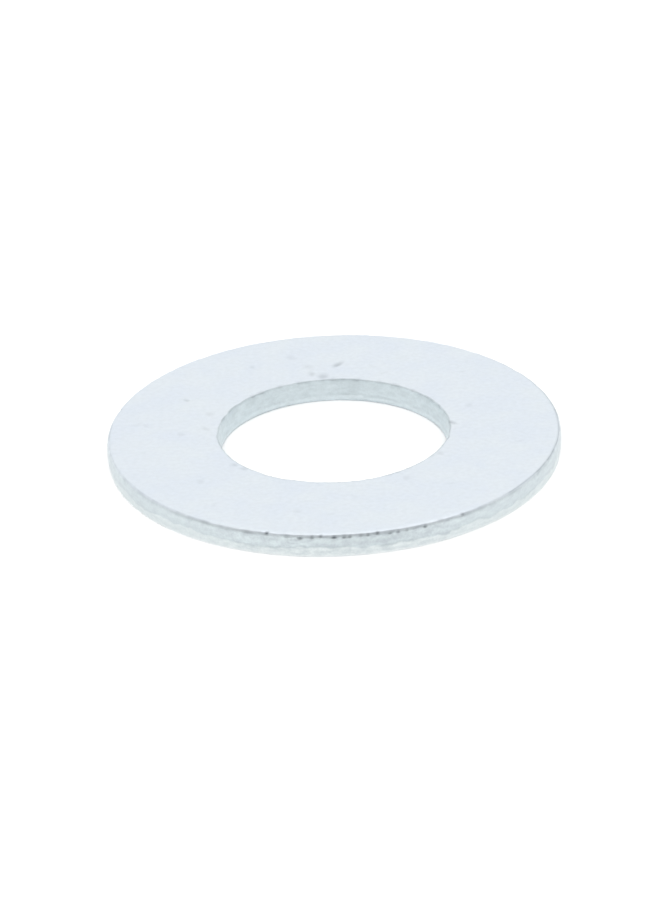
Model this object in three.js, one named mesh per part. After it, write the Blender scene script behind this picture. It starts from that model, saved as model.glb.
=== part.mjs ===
// Flat washer for an M10 bolt: a single ring stamped from steel sheet and zinc plated.
//
// Millimetres, +Z up. The origin is the centre of the lower bearing face, and the hole's axis is Z.
//
// A press cuts a washer twice, once for the hole and once for the outside, and each cut leaves the
// same zones on its wall. The corner where the cut starts is drawn into a soft roll. Below that comes
// a smooth sheared band. Then the metal breaks, which leaves a rougher band that leans away from the
// tool, and ends in a crisp corner. The outside was cut from the upper face and the hole from the
// lower face, so the outer wall has its roll on top and the bore has its roll underneath.
import * as THREE from "three";

// Driving dimensions.
const BORE_DIAMETER = 10.5; // at the sheared band, the narrowest part of the hole
const OUTER_DIAMETER = 21;
const THICKNESS = 1.1;

// Both cut walls, as shares of the thickness.
const OUTER_ROLL = { width: 0.125 * THICKNESS, depth: 0.24 * THICKNESS };
const BORE_ROLL = { width: 0.1 * THICKNESS, depth: 0.09 * THICKNESS };
const OUTER_BREAK_HEIGHT = 0.42 * THICKNESS; // the broken band is below this on the outside
const BORE_BREAK_HEIGHT = 0.28 * THICKNESS; // and above this in the bore
const OUTER_LEAN = 0.045 * THICKNESS; // how far the broken band has leaned in at the lower face
const BORE_LEAN = 0.085 * THICKNESS; // and how far it has opened at the upper face
const CORNER = 0.03; // what plating and tumbling round off the crisp corners

// How finely round shapes are stepped.
const SEGMENTS_ROUND = 96;
const STEPS_PER_CORNER = 3; // an ellipse in a path takes two points for each

const QUARTER = Math.PI / 2;

// The ring's section, as (radius, height), once round against the clock from the bore's lower roll.
function ringSection() {
  const bore = BORE_DIAMETER / 2;
  const rim = OUTER_DIAMETER / 2;
  const leanedRim = rim - OUTER_LEAN;
  const openedBore = bore + BORE_LEAN;

  const section = new THREE.Path();
  section.moveTo(bore + BORE_ROLL.width, 0);

  // Lower bearing face, then up the outer wall: crisp corner, broken band, sheared band, roll.
  section.lineTo(leanedRim - CORNER, 0);
  section.absellipse(leanedRim - CORNER, CORNER, CORNER, CORNER, -QUARTER, 0, false, 0);
  section.lineTo(rim, OUTER_BREAK_HEIGHT);
  section.lineTo(rim, THICKNESS - OUTER_ROLL.depth);
  section.absellipse(
    rim - OUTER_ROLL.width,
    THICKNESS - OUTER_ROLL.depth,
    OUTER_ROLL.width,
    OUTER_ROLL.depth,
    0,
    QUARTER,
    false,
    0,
  );

  // Upper bearing face, then down the bore: crisp corner, broken band, sheared band, roll.
  section.lineTo(openedBore + CORNER, THICKNESS);
  section.absellipse(
    openedBore + CORNER,
    THICKNESS - CORNER,
    CORNER,
    CORNER,
    QUARTER,
    2 * QUARTER,
    false,
    0,
  );
  section.lineTo(bore, BORE_BREAK_HEIGHT);
  section.lineTo(bore, BORE_ROLL.depth);
  section.absellipse(
    bore + BORE_ROLL.width,
    BORE_ROLL.depth,
    BORE_ROLL.width,
    BORE_ROLL.depth,
    2 * QUARTER,
    3 * QUARTER,
    false,
    0,
  );
  return section.getPoints(STEPS_PER_CORNER);
}

// Bright zinc plating over steel.
function zincPlate() {
  return new THREE.MeshStandardMaterial({ color: 0xd9e2ea, roughness: 0.38, metalness: 1 });
}

function washerRing() {
  const points = ringSection();
  const closed = [...points.slice(0, -1), points[0].clone()];
  const ring = new THREE.Mesh(new THREE.LatheGeometry(closed, SEGMENTS_ROUND), zincPlate());
  ring.name = "washer_ring";
  ring.rotation.x = QUARTER; // a lathe turns about Y, and the hole's axis is Z
  return ring;
}

const washer = new THREE.Group();
washer.add(washerRing());

export default washer;
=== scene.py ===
"""A zinc-plated flat washer lying on a pale studio floor.

The washer is one stamped ring. A press cut its outside from the upper face and its hole from the
lower face. Each cut left, in the order the tool met them, a soft rolled corner, a smooth sheared
band, and a rougher band where the metal broke and leaned away. The mesh holds all of these, with
the wandering line between the two bands, and the nicks that washers give each other in a barrel.
The plating's colour and its fine grain are in the material.
"""

import math
from collections import namedtuple

import bpy
import numpy as np
from mathutils import Matrix, Vector


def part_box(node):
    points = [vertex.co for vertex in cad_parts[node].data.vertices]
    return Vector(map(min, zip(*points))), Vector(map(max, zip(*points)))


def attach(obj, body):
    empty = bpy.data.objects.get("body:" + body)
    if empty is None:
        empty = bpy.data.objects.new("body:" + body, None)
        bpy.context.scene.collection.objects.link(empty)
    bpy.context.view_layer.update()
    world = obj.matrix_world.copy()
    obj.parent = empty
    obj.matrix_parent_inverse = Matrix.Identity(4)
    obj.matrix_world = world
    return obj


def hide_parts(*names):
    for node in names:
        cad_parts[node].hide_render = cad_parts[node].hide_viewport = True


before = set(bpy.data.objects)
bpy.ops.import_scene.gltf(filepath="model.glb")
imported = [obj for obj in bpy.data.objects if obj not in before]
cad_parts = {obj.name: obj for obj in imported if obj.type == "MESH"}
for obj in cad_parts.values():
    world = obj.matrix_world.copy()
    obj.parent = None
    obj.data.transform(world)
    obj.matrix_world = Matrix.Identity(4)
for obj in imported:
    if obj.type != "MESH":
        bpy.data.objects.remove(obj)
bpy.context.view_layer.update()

NODE = "washer_ring"
MM = 0.001
TURN = 2 * math.pi
SEED = 27


# ---------------------------------------------------------------- sizes, in millimetres


def ring_sizes():
    """Outer radius, bore radius at its narrowest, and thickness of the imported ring."""
    low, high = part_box(NODE)
    points = np.array([v.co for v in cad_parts[NODE].data.vertices])
    return high.x / MM, np.hypot(points[:, 0], points[:, 1]).min() / MM, high.z / MM


RIM, BORE, THICK = ring_sizes()

RIM_ROLL_WIDTH = 0.125 * THICK
RIM_ROLL_DEPTH = 0.24 * THICK
RIM_BREAK = 0.42 * THICK  # the outside's broken band is below this height
RIM_LEAN = 0.045 * THICK
BORE_ROLL_WIDTH = 0.10 * THICK
BORE_ROLL_DEPTH = 0.09 * THICK
BORE_BREAK = 0.28 * THICK  # the bore's broken band is above this height
BORE_LEAN = 0.085 * THICK
CORNER = 0.03
DEEPEST_IN_CORNER = 0.6 * CORNER  # of the relief, so that a corner never turns inside out
LEDGE_HEIGHT = 0.045  # of the torn ledge between a wall's two bands, to each side of its middle
LEDGE_DEPTH = 0.014
FOOT_HEIGHT = 0.16  # the outer wall turns paler from here down: painted light from the white paper

# The ring's left and right ends, by how far the cosine of the angle is from 0.
CALM_ENDS = (0.3, 0.7)  # the outer wall is smoother there
CALMED = 0.55  # the share of its dents and torn metal that is missing there
CALM_CONTRAST = 0.5  # of its mottle there, next to the rest of the wall
CREST_ENDS = (0.5, 0.85)  # and the roll has a fine line of painted shade where it meets the upper face

# Columns of the mesh round the ring. The walls and corners have two for each one of the faces, and
# so do the upper face's last rows before the bore, where its edge is chipped.
FACE_COLUMNS = 660
WALL_COLUMNS = 2 * FACE_COLUMNS
FINE_FACE_ROWS = 2


# ---------------------------------------------------------------- smooth seeded noise


def grain(rng, angle, across, cells_round, cells_across):
    """Smooth noise from -1 to 1 on a band that closes round the ring. across runs from 0 to 1."""
    lattice = rng.uniform(-1, 1, (cells_round, cells_across + 2))
    u = np.mod(angle / TURN, 1) * cells_round
    v = np.clip(across, 0, 1) * cells_across
    column, row = np.floor(u).astype(int), np.floor(v).astype(int)
    right, up = (t * t * (3 - 2 * t) for t in (u - column, v - row))
    here, after = column % cells_round, (column + 1) % cells_round
    lower = lattice[here, row] * (1 - right) + lattice[after, row] * right
    upper = lattice[here, row + 1] * (1 - right) + lattice[after, row + 1] * right
    return lower * (1 - up) + upper * up


def layered_grain(rng, angle, across, cells_round, cells_across, layers):
    """Grain with weaker grain on top of it, each layer half the size and strength of the last."""
    total = 0
    for layer in range(layers):
        finer = 2**layer
        total = total + grain(rng, angle, across, cells_round * finer, cells_across * finer) / finer
    return total / (2 - 0.5 ** (layers - 1))


def wander(rng, angle, at_radius, pitch, layers=2):
    """Noise from -1 to 1 along an edge of the ring. Its longest waves are about 2 * pitch mm."""
    cells_round = round(TURN * at_radius / pitch)
    return layered_grain(rng, angle, np.zeros_like(angle), cells_round, 1, layers)


def smooth(start, end, value):
    """0 before start and 1 after end, with a soft step between them."""
    t = np.clip((value - start) / (end - start), 0, 1)
    return t * t * (3 - 2 * t)


def sides(angle, start, end):
    """1 at the ring's left and right ends and 0 at its front and back, with soft steps between."""
    return smooth(start, end, np.abs(np.cos(angle)))


# ---------------------------------------------------------------- the ring's section

Row = namedtuple("Row", "zone facing radius height")
OUT, UP, INWARDS, DOWN = 0.0, 0.25 * TURN, 0.5 * TURN, -0.25 * TURN
FACES = ["lower_face", "upper_face"]
RIM_WALL = ["rim_corner", "rim_broken", "rim_sheared", "rim_roll"]
BORE_WALL = ["bore_corner", "bore_broken", "bore_sheared", "bore_roll"]
CORNERS = ["rim_corner", "bore_corner"]


def straight(zone, count, start, end, facing, first=0.5, last=0.5):
    """count rows from start to end, leaving first and last, in steps, free at the two ends."""
    steps = count - 1 + first + last
    shares = [(k + first) / steps for k in range(count)]
    return [Row(zone, facing, *(a + (b - a) * t for a, b in zip(start, end))) for t in shares]


def quarter_round(zone, count, centre, size, begin):
    """count rows over a quarter of an ellipse, both ends included, from the facing begin."""
    facings = [begin + 0.25 * TURN * k / (count - 1) for k in range(count)]
    return [
        Row(zone, f, centre[0] + size[0] * math.cos(f), centre[1] + size[1] * math.sin(f))
        for f in facings
    ]


def ring_section(angle, rng):
    """Every row of the ring, once round its section from the bore's lower roll, and both break lines.

    A row holds a radius and a height for each column. Its facing is the surface's direction in the
    section: 0 is outwards and a quarter turn is up.
    """

    def varied(size, share, at_radius, pitch, layers=2):
        """The size, more or less by up to the share, in waves of about the pitch."""
        return size * (1 + share * wander(rng, angle, at_radius, pitch, layers))

    level = np.zeros_like(angle)
    rim_roll = (
        varied(RIM_ROLL_WIDTH, 0.16, RIM, 0.9, 3),
        varied(RIM_ROLL_DEPTH, 0.22, RIM, 0.8, 3),
    )
    bore_roll = (
        varied(BORE_ROLL_WIDTH, 0.12, BORE, 2.0),
        varied(BORE_ROLL_DEPTH, 0.25, BORE, 1.5),
    )
    rim_break = varied(RIM_BREAK, 0.42, RIM, 0.7, 3)
    bore_break = varied(BORE_BREAK, 0.30, BORE, 1.1, 3)
    leaned = RIM - varied(RIM_LEAN, 0.35, RIM, 2.5)
    opened = BORE + varied(BORE_LEAN, 0.50, BORE, 0.6, 3)
    corner = (CORNER, CORNER)

    rows = straight("lower_face", 6, (BORE + bore_roll[0], level), (leaned - CORNER, level), DOWN)
    rows += quarter_round("rim_corner", 3, (leaned - CORNER, CORNER), corner, DOWN)
    rows += straight("rim_broken", 10, (leaned, CORNER), (RIM, rim_break), OUT, first=1)
    rows += straight("rim_sheared", 6, (RIM, rim_break), (RIM, THICK - rim_roll[1]), OUT, last=1)
    rows += quarter_round("rim_roll", 11, (RIM - rim_roll[0], THICK - rim_roll[1]), rim_roll, OUT)
    face_end = (opened + CORNER, THICK + level)
    rows += straight("upper_face", 35, (RIM - rim_roll[0], THICK + level), face_end, UP)
    rows += quarter_round("bore_corner", 4, (opened + CORNER, THICK - CORNER), corner, UP)
    rows += straight("bore_broken", 11, (opened, THICK - CORNER), (BORE, bore_break), INWARDS, first=1)
    rows += straight("bore_sheared", 4, (BORE, bore_break), (BORE, bore_roll[1]), INWARDS, last=1)
    rows += quarter_round("bore_roll", 5, (BORE + bore_roll[0], bore_roll[1]), bore_roll, INWARDS)
    return rows, rim_break, bore_break


def stitch(first, second):
    """The faces between two rows of vertex numbers, which may have two columns for each one."""
    if len(first) == len(second):
        n = len(first)
        return [(first[k], first[(k + 1) % n], second[(k + 1) % n], second[k]) for k in range(n)]
    many, few = (first, second) if len(first) > len(second) else (second, first)
    faces = []
    for k in range(len(few)):
        here, after = few[k], few[(k + 1) % len(few)]
        a, b, c = many[2 * k], many[2 * k + 1], many[(2 * k + 2) % len(many)]
        strip = [(a, b, here), (b, after, here), (b, c, after)]
        faces += strip if many is first else [face[::-1] for face in strip]
    return faces


# ---------------------------------------------------------------- marks from the press and the barrel

# Nicks in the rolled edge's front, where the real one has them: degrees round from +X, then half
# the length round the edge, and the depth, in mm.
FRONT_NICKS = [
    (-124.5, 0.34, 0.006),
    (-117.5, 0.26, 0.005),
    (-112.5, 0.34, 0.011),
    (-107.5, 0.13, 0.050),
    (-102.5, 0.18, 0.016),
    (-99.2, 0.20, 0.034),
    (-96.3, 0.13, 0.026),
    (-94.2, 0.14, 0.032),
    (-91, 0.18, 0.050),
    (-88.6, 0.15, 0.034),
    (-87.2, 0.13, 0.026),
    (-84.6, 0.15, 0.018),
    (-82.8, 0.13, 0.026),
    (-80.5, 0.13, 0.034),
    (-77.4, 0.16, 0.026),
    (-75.4, 0.15, 0.032),
    (-73.2, 0.13, 0.020),
    (-68.5, 0.16, 0.038),
    (-64, 0.26, 0.012),
    (-58, 0.16, 0.026),
]
BACK_NICKS = 26

# Chips in the bore's upper corner, in the same way.
BORE_CHIPS = [
    (45.6, 0.30, 0.030),
    (57.2, 0.34, 0.030),
    (66, 0.22, 0.018),
    (77, 0.26, 0.026),
    (89.7, 0.26, 0.034),
    (107, 0.22, 0.020),
    (117, 0.30, 0.028),
    (128.5, 0.34, 0.032),
    (134, 0.24, 0.030),
    (-58.5, 0.24, 0.018),
]
MORE_BORE_CHIPS = 8

# Marks on the upper face: degrees, radius, half the length round, half the width across, depth, and
# slant, which is how far the mark moves outwards for each mm that it runs round.
FACE_MARKS = [
    (151.8, 7.80, 0.17, 0.24, 0.030, 0),
    (87.4, 7.00, 0.38, 0.34, 0.040, -0.76),
    (98.9, 6.13, 0.26, 0.38, 0.024, 0),
    (94.0, 5.76, 0.40, 0.48, 0.030, 0),
    (3.3, 5.44, 0.42, 0.24, 0.036, -0.67),
    (-144.7, 5.62, 0.30, 0.22, 0.022, 0),
    (-138.5, 5.54, 0.30, 0.20, 0.024, 0),
    (99.0, 6.92, 0.40, 0.36, 0.013, 0.5),
    (103.6, 8.18, 0.34, 0.40, 0.011, 0.4),
    (118.1, 7.99, 0.22, 0.30, 0.014, 0),
    (159.9, 6.14, 0.32, 0.30, 0.013, 0),
    (179.3, 7.06, 0.24, 0.26, 0.014, 0),
    (174.5, 5.97, 0.40, 0.22, 0.014, -0.6),
    (17.3, 6.65, 0.32, 0.24, 0.012, 0.5),
    (-31.1, 5.60, 0.30, 0.24, 0.016, 0),
    (-58.6, 6.11, 0.30, 0.30, 0.013, -0.4),
    (-102.4, 8.27, 0.24, 0.24, 0.014, 0),
    (-142.0, 7.78, 0.34, 0.28, 0.012, 0.3),
]
MORE_FACE_MARKS = 16

# A long shallow dent along the sheared band, at the front, which also makes the wall darker there. It
# has a height after the radius, and then the same values as a mark on a face.
LONG_FRONT_DENT = (-81, RIM, 0.70 * THICK, 4.4, 0.46, 0.012, 0)

NICK_HALF_WIDTH = 0.14
CHIP_HALF_WIDTH = 0.16
CHIP_RADIUS = BORE + BORE_LEAN + 0.07
DARKEST_DEPTH = 0.045  # a nick this deep gets the darkest painted shade of any mark
CHIP_DARKNESS = 0.45  # of the painted shade of a chip, a mark on a face or the long front dent, next to a nick as deep


def all_marks(rng):
    """Every dent: its angle in radians, its radius, height, half length, half width and depth in mm,
    its slant, and the darkness of its painted shade next to a nick as deep.
    """
    nicks = FRONT_NICKS + [
        (rng.uniform(0, 180), rng.uniform(0.12, 0.40), rng.uniform(0.008, 0.024))
        for _ in range(BACK_NICKS)
    ]
    chips = BORE_CHIPS + [
        (rng.uniform(-130, 0), rng.uniform(0.12, 0.32), rng.uniform(0.006, 0.014))
        for _ in range(MORE_BORE_CHIPS)
    ]
    face_marks = [(at, radius, THICK, *rest) for at, radius, *rest in FACE_MARKS]
    for face_height in (0, THICK):
        for _ in range(MORE_FACE_MARKS):
            place = rng.uniform(-180, 180), rng.uniform(BORE + 0.8, RIM - 0.8), face_height
            size = rng.uniform(0.16, 0.36), rng.uniform(0.16, 0.32), rng.uniform(0.003, 0.011)
            face_marks.append((*place, *size, rng.uniform(-0.8, 0.8)))
    face_marks.append(LONG_FRONT_DENT)

    def on_roll():
        """Radius and height of a place somewhere across the rim's roll."""
        facing = math.radians(rng.uniform(25, 75))
        radius = RIM - RIM_ROLL_WIDTH * (1 - math.cos(facing))
        return radius, THICK - RIM_ROLL_DEPTH * (1 - math.sin(facing))

    marks = [(at, *on_roll(), length, NICK_HALF_WIDTH, depth, 0, 1) for at, length, depth in nicks]
    marks += [
        (at, CHIP_RADIUS, THICK, length, CHIP_HALF_WIDTH, depth, 0, CHIP_DARKNESS)
        for at, length, depth in chips
    ]
    marks += [(*mark, CHIP_DARKNESS) for mark in face_marks]
    return [(math.radians(at), *rest) for at, *rest in marks]


def dents(marks, angle, radius, height):
    """How deep each vertex is pushed in, in mm, and how dark the painted shade in its dent is, from 0
    to about 1.
    """
    deep, dark = np.zeros_like(angle), np.zeros_like(angle)
    for at, mark_radius, mark_height, length, width, depth, slant, darkness in marks:
        along = (np.mod(angle - at + TURN / 2, TURN) - TURN / 2) * mark_radius
        across = np.hypot(radius - mark_radius - slant * along, height - mark_height)
        near = np.clip(1 - (along / length) ** 2 - (across / width) ** 2, 0, 1) ** 2
        deep = np.maximum(deep, depth * near)
        dark = np.maximum(dark, darkness * depth / DARKEST_DEPTH * near)
    return deep, dark


def relief(zone, angle, radius, height, rng):
    """How far each vertex stands below the plain section, in mm, from the tools and the barrel."""
    up, across = height / THICK, (radius - BORE) / (RIM - BORE)

    def rough(depth, zones, at_radius, pitch_round, cells_across, layers, along=up):
        """Noise from 0 to depth on some zones, pitch_round mm from lump to lump round the ring."""
        cells_round = round(TURN * at_radius / pitch_round)
        wave = layered_grain(rng, angle, along, cells_round, cells_across, layers)
        return depth * np.isin(zone, zones) * (0.5 + 0.5 * wave)

    calmer = 1 - CALMED * sides(angle, *CALM_ENDS)

    return sum(
        (
            # Soft dents from the barrel.
            rough(0.014, RIM_WALL, RIM, 0.9, 2, 2) * calmer,
            rough(0.010, BORE_WALL, BORE, 0.8, 2, 2),
            # Drag lines of the sheared bands, which run up the wall.
            rough(0.007, ["rim_sheared", "rim_roll"], RIM, 0.16, 1, 2),
            rough(0.004, ["bore_sheared"], BORE, 0.12, 1, 2),
            # Torn metal.
            rough(0.028, ["rim_broken"], RIM, 0.26, 6, 3) * calmer,
            rough(0.018, ["bore_broken"], BORE, 0.26, 5, 3),
            # Ragged corners.
            rough(0.030, ["rim_roll"], RIM, 0.32, 5, 2) * calmer,
            rough(0.018, CORNERS, RIM, 0.25, 4, 2),
            # The faces' slow waves, and the sheet's own grain.
            rough(0.006, FACES, RIM, 3.0, 4, 2, across),
            rough(0.0016, FACES, RIM, 0.35, 16, 1, across),
        )
    )


def edge_shade_lines(zone, angle, height, facing, rng):
    """Darkness of the lines of painted shade on the rim's roll and on the upper and lower edges of the
    bore.
    """
    # A broken line of painted shade across the rim's roll, and a finer one where the roll meets the
    # face.
    on_roll = facing / UP  # 0 where the roll leaves the wall, 1 where it meets the face
    start = 0.30 + 0.40 * wander(rng, angle, RIM, 0.40, 3)
    line = smooth(start - 0.2, start + 0.15, on_roll) * smooth(1.0, 0.85, on_roll)
    strength = np.clip(0.40 + 1.20 * wander(rng, angle, RIM, 0.40, 3), 0, 1)
    crest = smooth(0.6, 0.8, on_roll) * smooth(1.05, 0.95, on_roll)
    crest *= 0.75 * sides(angle, *CREST_ENDS) * (1.5 + np.cos(angle))  # stronger on the right
    darkness = (zone == "rim_roll") * (line * strength + crest)

    # Painted shade along the bore's upper edge. The line fades out over about 0.08 mm.
    top = np.exp(-(((THICK - height) / 0.08) ** 2))
    strength = np.clip(1.10 + 1.50 * wander(rng, angle, BORE, 0.45, 3), 0.2, 2.2)
    darkness = darkness + np.isin(zone, BORE_WALL) * top * strength

    # Painted shade on the bore's roll, down at the floor.
    strength = np.clip(0.60 + 0.90 * wander(rng, angle, BORE, 2.2, 2), 0, 1.2)
    return darkness + (zone == "bore_roll") * strength


# ---------------------------------------------------------------- the ring's mesh


def add_object(name, data):
    """A new object, in the scene."""
    thing = bpy.data.objects.new(name, data)
    bpy.context.scene.collection.objects.link(thing)
    return thing


def build_ring():
    """The ring's object, with a mask on its points for each thing that the material shows."""
    rng = np.random.default_rng(SEED)
    columns = np.arange(WALL_COLUMNS) / WALL_COLUMNS * TURN
    rows, rim_break, bore_break = ring_section(columns, rng)
    face_end = [row.zone for row in rows].index("bore_corner")
    coarse = [
        row.zone in FACES and not face_end - FINE_FACE_ROWS <= k < face_end
        for k, row in enumerate(rows)
    ]
    strides = [2 if is_coarse else 1 for is_coarse in coarse]
    counts = [WALL_COLUMNS // stride for stride in strides]
    starts = np.cumsum([0] + counts)
    numbers = [list(range(a, b)) for a, b in zip(starts, starts[1:])]
    faces = []
    for k, row in enumerate(numbers):
        faces += stitch(row, numbers[(k + 1) % len(numbers)])

    def gathered(values):
        """One value for each vertex, from one array of columns for each row."""
        return np.concatenate([v[::stride] for v, stride in zip(values, strides)])

    angle = gathered([columns] * len(rows))
    radius = gathered([row.radius + 0 * columns for row in rows])
    height = gathered([row.height + 0 * columns for row in rows])
    zone = np.repeat([row.zone for row in rows], counts)
    facing = np.repeat([row.facing for row in rows], counts)

    # The line where the metal broke is a small torn ledge that comes and goes. The same mask paints
    # shade along the ledge's groove.
    break_line = gathered([bore_break if row.zone in BORE_WALL else rim_break for row in rows])
    on_wall = np.isin(zone, ["rim_broken", "rim_sheared", "bore_broken", "bore_sheared"])
    ledge_and_shade = on_wall * np.exp(-(((height - break_line) / LEDGE_HEIGHT) ** 2))
    ledge_and_shade *= np.clip(0.35 + 1.2 * wander(rng, angle, RIM, 1.1, 3), 0, 1)

    painted_edge_shade = edge_shade_lines(zone, angle, height, facing, rng)
    deep, dark = dents(all_marks(rng), angle, radius, height)
    sunk = relief(zone, angle, radius, height, rng) + LEDGE_DEPTH * ledge_and_shade
    sunk = np.where(np.isin(zone, CORNERS), np.minimum(sunk, DEEPEST_IN_CORNER), sunk)
    pushed = np.where(np.isin(zone, BORE_WALL), UP, facing)  # chips go down from the upper face
    radius = radius - sunk * np.cos(facing) - deep * np.cos(pushed)
    height = height - sunk * np.sin(facing) - deep * np.sin(pushed)

    points = np.stack([radius * np.cos(angle), radius * np.sin(angle), height], axis=1) * MM
    mesh = bpy.data.meshes.new("stamped_ring")
    mesh.from_pydata(points.tolist(), [], faces)
    mesh.validate()
    mesh.shade_smooth()
    masks = {
        "wall": np.where(zone == "rim_roll", smooth(0.9, 0.3, facing / UP), ~np.isin(zone, FACES)),
        "bore": np.isin(zone, BORE_WALL),
        "broken": np.isin(zone, ["rim_corner", "rim_broken", "bore_broken"]),
        # Painted shade along the torn ledge's groove.
        "ledge_and_shade": ledge_and_shade,
        # Painted shade along the rim's roll and the bore's edges.
        "painted_edge_shade": painted_edge_shade,
        # Painted shade in the dents, darker the deeper they are.
        "dent_shade": dark,
        # Painted light from the white paper along the outer wall's foot.
        "foot": np.isin(zone, RIM_WALL) * smooth(FOOT_HEIGHT, 0.0, height),
        "calm": np.isin(zone, RIM_WALL) * sides(angle, *CALM_ENDS),
    }
    for name, values in masks.items():
        layer = mesh.attributes.new(name, "FLOAT", "POINT")
        layer.data.foreach_set("value", values.astype(np.float32))
    return add_object("stamped_ring", mesh)


# ---------------------------------------------------------------- materials

# Zinc, in linear light. A pair is the two ends of a range that noise runs over.
FACE_BLUES = (0.782, 0.836, 0.906), (0.804, 0.854, 0.902)
FACE_PEBBLES = (0.60, 0.64, 0.68)
SHEARED_GREYS = (0.51, 0.557, 0.59), (0.65, 0.718, 0.733)
BROKEN_GREYS = (0.62, 0.672, 0.69), (0.77, 0.815, 0.82)
BORE_GREYS = (0.61, 0.675, 0.70), (0.685, 0.755, 0.785)
FOOT_PAINTED_LIGHT = (0.93, 0.95, 0.95)
LEDGE_SHADE_GREY = (0.36, 0.41, 0.43)
EDGE_SHADE_GREY = (0.32, 0.37, 0.40)
DENT_SHADE_GREY = (0.12, 0.14, 0.16)
PAPER_WHITES = (0.90, 0.90, 0.90), (0.915, 0.915, 0.915)


class Nodes:
    """Short names for the few node kinds the materials use."""

    def __init__(self, material):
        material.use_nodes = True
        self.tree = material.node_tree
        self.tree.nodes.clear()
        self.output = self.tree.nodes.new("ShaderNodeOutputMaterial")
        self.shader = self.tree.nodes.new("ShaderNodeBsdfPrincipled")
        self.tree.links.new(self.shader.outputs["BSDF"], self.output.inputs["Surface"])

    def new(self, kind, **values):
        node = self.tree.nodes.new(kind)
        for name, value in values.items():
            setattr(node, name, value)
        return node

    def link(self, source, target):
        self.tree.links.new(source, target)

    def feed(self, socket, value):
        if isinstance(value, bpy.types.NodeSocket):
            self.link(value, socket)
        else:
            socket.default_value = value

    def mask(self, name):
        return self.new("ShaderNodeAttribute", attribute_name=name).outputs["Fac"]

    def math(self, operation, a, b):
        node = self.new("ShaderNodeMath", operation=operation)
        self.feed(node.inputs[0], a)
        self.feed(node.inputs[1], b)
        return node.outputs[0]

    def noise(self, cell, detail, stretch=(1, 1, 1)):
        """Noise with features about cell mm across, longer by stretch along each axis."""
        place = self.new("ShaderNodeTexCoord").outputs["Object"]
        scaled = self.new("ShaderNodeMapping")
        self.link(place, scaled.inputs["Vector"])
        scaled.inputs["Scale"].default_value = [1 / (cell * MM * s) for s in stretch]
        node = self.new("ShaderNodeTexNoise")
        self.link(scaled.outputs[0], node.inputs["Vector"])
        node.inputs["Scale"].default_value = 1.0
        node.inputs["Detail"].default_value = detail
        return node.outputs["Fac"]

    def span(self, value, low, high, to_low=0.0, to_high=1.0):
        """The value's range from low to high, stretched to run from to_low to to_high."""
        node = self.new("ShaderNodeMapRange")
        for name, v in zip(
            ("Value", "From Min", "From Max", "To Min", "To Max"),
            (value, low, high, to_low, to_high),
        ):
            self.feed(node.inputs[name], v)
        return node.outputs[0]

    def mix(self, share, a, b):
        """Colour a where share is 0 and colour b where it is 1."""
        node = self.new("ShaderNodeMix", data_type="RGBA")
        self.feed(node.inputs["Factor"], share)
        for name, value in (("A", a), ("B", b)):
            socket = next(s for s in node.inputs if s.name == name and s.type == "RGBA")
            self.feed(socket, value if isinstance(value, bpy.types.NodeSocket) else (*value, 1.0))
        return next(s for s in node.outputs if s.type == "RGBA")

    def bump(self, height, depth, normal=None):
        """A bump depth mm deep."""
        node = self.new("ShaderNodeBump")
        node.inputs["Strength"].default_value = 1.0
        node.inputs["Distance"].default_value = depth * MM
        self.link(height, node.inputs["Height"])
        if normal is not None:
            self.link(normal, node.inputs["Normal"])
        return node.outputs["Normal"]


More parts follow.
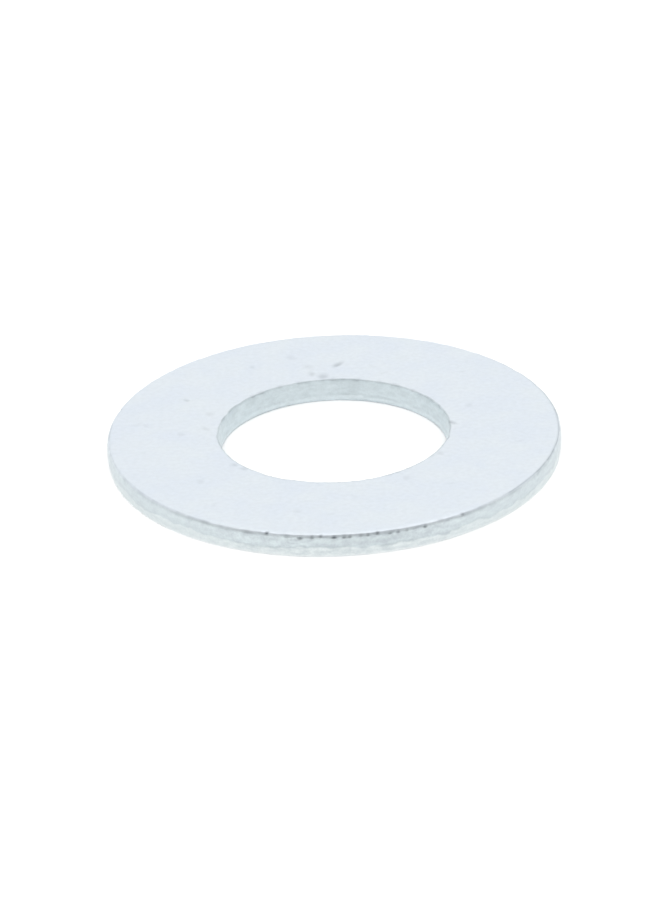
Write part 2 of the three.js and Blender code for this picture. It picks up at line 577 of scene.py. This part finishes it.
def zinc_plate():
    """Bright zinc: pale blue on the faces, greyer and mottled where the press cut through."""
    material = bpy.data.materials.new("bright_zinc_plate")
    n = Nodes(material)
    wall, bore, broken = n.mask("wall"), n.mask("bore"), n.mask("broken")
    ledge_and_shade, painted_edge_shade, dent_shade = n.mask("ledge_and_shade"), n.mask("painted_edge_shade"), n.mask("dent_shade")
    foot, calm = n.mask("foot"), n.mask("calm")

    # The faces: broad clouds, with small pebbles over them.
    clouds, pebbles = n.noise(1.6, 3.0), n.span(n.noise(0.22, 2.0), 0.3, 0.7)
    face = n.mix(n.span(clouds, 0.35, 0.65), *FACE_BLUES)
    face = n.mix(n.math("MULTIPLY", pebbles, 0.19), face, FACE_PEBBLES)

    # The cut walls: mottled by streaks that run round and by spots.
    streaks, spots = n.noise(0.30, 3.0, stretch=(1.5, 1.5, 0.6)), n.noise(0.11, 2.0)
    mottle = n.span(n.math("ADD", streaks, n.math("MULTIPLY", spots, 0.5)), 0.55, 0.95)
    contrast = n.span(calm, 0.0, 1.0, 1.0, CALM_CONTRAST)
    mottle = n.math("ADD", n.math("MULTIPLY", n.math("SUBTRACT", mottle, 0.5), contrast), 0.5)
    cut = n.mix(broken, n.mix(mottle, *SHEARED_GREYS), n.mix(mottle, *BROKEN_GREYS))
    cut = n.mix(bore, cut, n.mix(mottle, *BORE_GREYS))
    # Painted light from the white paper: the outer wall's foot turns nearly white.
    cut = n.mix(n.math("MULTIPLY", foot, 0.7), cut, FOOT_PAINTED_LIGHT)

    # Both together, and over them painted shade: in the torn ledge's groove, on the rim's roll and the
    # bore's edges, and in the dents.
    colour = n.mix(wall, face, cut)
    # Painted shade along the torn ledge's groove.
    colour = n.mix(n.math("MULTIPLY", ledge_and_shade, 0.35), colour, LEDGE_SHADE_GREY)
    colour = n.mix(n.math("MULTIPLY", painted_edge_shade, 0.24), colour, EDGE_SHADE_GREY)
    # Painted shade in the dents.
    colour = n.mix(n.math("MULTIPLY", dent_shade, 0.85), colour, DENT_SHADE_GREY)
    n.link(colour, n.shader.inputs["Base Color"])

    n.shader.inputs["Metallic"].default_value = 1.0
    rough = n.span(n.noise(0.5, 3.0), 0.3, 0.7, 0.34, 0.42)
    rough = n.math("ADD", rough, n.math("MULTIPLY", broken, 0.10))
    n.link(rough, n.shader.inputs["Roughness"])

    fine = n.bump(n.noise(0.09, 3.0), 0.0016)
    n.link(n.bump(n.noise(0.30, 2.0), 0.003, fine), n.shader.inputs["Normal"])
    return material


def floor_paper():
    """Matt white paper, very slightly uneven in tone."""
    material = bpy.data.materials.new("white_paper")
    n = Nodes(material)
    tone = n.span(n.noise(14.0, 2.0), 0.3, 0.7)
    n.link(n.mix(tone, *PAPER_WHITES), n.shader.inputs["Base Color"])
    n.shader.inputs["Roughness"].default_value = 0.9
    n.shader.inputs["Specular IOR Level"].default_value = 0.2
    return material


def dark_card():
    """Matt black that gives off white light, as much as the lightness of its points says."""
    material = bpy.data.materials.new("dark_card")
    n = Nodes(material)
    n.shader.inputs["Base Color"].default_value = (0, 0, 0, 1)
    n.shader.inputs["Specular IOR Level"].default_value = 0.0
    n.shader.inputs["Emission Color"].default_value = (1, 1, 1, 1)
    n.link(n.mask("lightness"), n.shader.inputs["Emission Strength"])
    return material


# ---------------------------------------------------------------- stage, light and camera

# In metres, radians and watts. The lens is in mm.
ELEVATION = math.radians(26.6)
ROLL = math.radians(2.25)
DISTANCE = 16.63 * RIM * MM
LENS = 151.0
OFF_CENTRE = (-0.0165 * RIM * MM, -0.092 * RIM * MM)  # of the aim, right and up from the washer

FLOOR_RADIUS, FLOOR_SIDES = 1.2, 96

SOFTBOX_PLACE, SOFTBOX_SIZE, SOFTBOX_POWER = (0.05, 0.05, 0.5), 0.5, 0.25
FILL_STRENGTH, FILL_SPREAD, FILL_ELEVATION = 1.7, math.radians(25), math.radians(36)
STUDIO_WHITE = (0.99, 1.0, 1.0, 1)

# The dark card bends round the washer. Its middle is a little right of the camera.
FLAG_MIDDLE, FLAG_HALF_WIDTH = math.radians(-82), math.radians(100)
FLAG_ELEVATIONS = math.radians(4), math.radians(80)
FLAG_DISTANCE = 0.5
FLAG_STEPS = 24
FLAG_DARKEST, FLAG_FADE_LEFT, FLAG_FADE_RIGHT = 0.60, 0.34, 0.40


def add_camera():
    """The view, from the front and above, with the camera turned by ROLL."""
    level_right = Vector((1, 0, 0))
    ahead = Vector((0, math.cos(ELEVATION), -math.sin(ELEVATION)))
    level_up = level_right.cross(ahead)
    right = math.cos(ROLL) * level_right - math.sin(ROLL) * level_up
    up = math.sin(ROLL) * level_right + math.cos(ROLL) * level_up
    aim = Vector((0, 0, THICK * MM)) + OFF_CENTRE[0] * right + OFF_CENTRE[1] * up
    camera = add_object("camera", bpy.data.cameras.new("camera"))
    camera.data.lens = LENS
    camera.data.clip_start = 0.01
    camera.matrix_world = Matrix.Translation(aim - DISTANCE * ahead) @ Matrix(
        (right, up, -ahead)
    ).transposed().to_4x4()
    bpy.context.scene.camera = camera


def add_floor():
    mesh = bpy.data.meshes.new("floor")
    turns = [TURN * k / FLOOR_SIDES for k in range(FLOOR_SIDES)]
    edge = [(FLOOR_RADIUS * math.cos(turn), FLOOR_RADIUS * math.sin(turn), 0) for turn in turns]
    mesh.from_pydata(edge, [], [list(range(FLOOR_SIDES))])
    mesh.materials.append(floor_paper())
    floor = add_object("floor", mesh)


def add_softbox(name, place, size, power):
    """A square area light that faces the washer."""
    light = bpy.data.lights.new(name, "AREA")
    light.size = size
    light.energy = power
    box = add_object(name, light)
    box.location = place
    box.rotation_euler = Vector(place).to_track_quat("Z", "Y").to_euler()


def add_fill():
    """Soft light from the camera's side, which lights the paper up to the washer's foot."""
    light = bpy.data.lights.new("front_fill", "SUN")
    light.energy = FILL_STRENGTH
    light.angle = FILL_SPREAD
    fill = add_object("front_fill", light)
    fill.rotation_euler = (math.radians(90) - FILL_ELEVATION, 0, 0)
    fill.visible_glossy = False


def add_flag():
    """A dark card on the camera's side, which only reflections see, as in product photography.

    It fades to the studio's white at its right end, and nearly to it at its left end.
    """
    shares = [-1 + 2 * k / FLAG_STEPS for k in range(FLAG_STEPS + 1)]  # -1 is the left end
    turns = [FLAG_MIDDLE + FLAG_HALF_WIDTH * share for share in shares]
    points = [
        (
            FLAG_DISTANCE * math.cos(rise) * math.cos(turn),
            FLAG_DISTANCE * math.cos(rise) * math.sin(turn),
            FLAG_DISTANCE * math.sin(rise),
        )
        for rise in FLAG_ELEVATIONS
        for turn in turns
    ]
    upper = len(shares)
    faces = [(k, k + 1, upper + k + 1, upper + k) for k in range(FLAG_STEPS)]
    mesh = bpy.data.meshes.new("dark_flag")
    mesh.from_pydata(points, [], faces)
    fades = [FLAG_FADE_RIGHT if share > 0 else FLAG_FADE_LEFT for share in shares]
    lightness = [FLAG_DARKEST + fade * abs(share) for fade, share in zip(fades, shares)]
    layer = mesh.attributes.new("lightness", "FLOAT", "POINT")
    layer.data.foreach_set("value", lightness * len(FLAG_ELEVATIONS))
    mesh.materials.append(dark_card())
    flag = add_object("dark_flag", mesh)
    flag.visible_camera = False
    flag.visible_diffuse = False
    flag.visible_shadow = False


def add_surroundings():
    """An even white studio all round, shown without any tone curve."""
    world = bpy.data.worlds.new("studio")
    world.use_nodes = True
    background = world.node_tree.nodes["Background"]
    background.inputs["Color"].default_value = STUDIO_WHITE
    background.inputs["Strength"].default_value = 1.0
    bpy.context.scene.world = world
    bpy.context.scene.view_settings.view_transform = "Standard"


add_camera()
washer = build_ring()
washer.data.materials.append(zinc_plate())
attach(washer, "root")
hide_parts(NODE)
add_floor()
add_flag()
add_softbox("overhead_softbox", SOFTBOX_PLACE, SOFTBOX_SIZE, SOFTBOX_POWER)
add_fill()
add_surroundings()
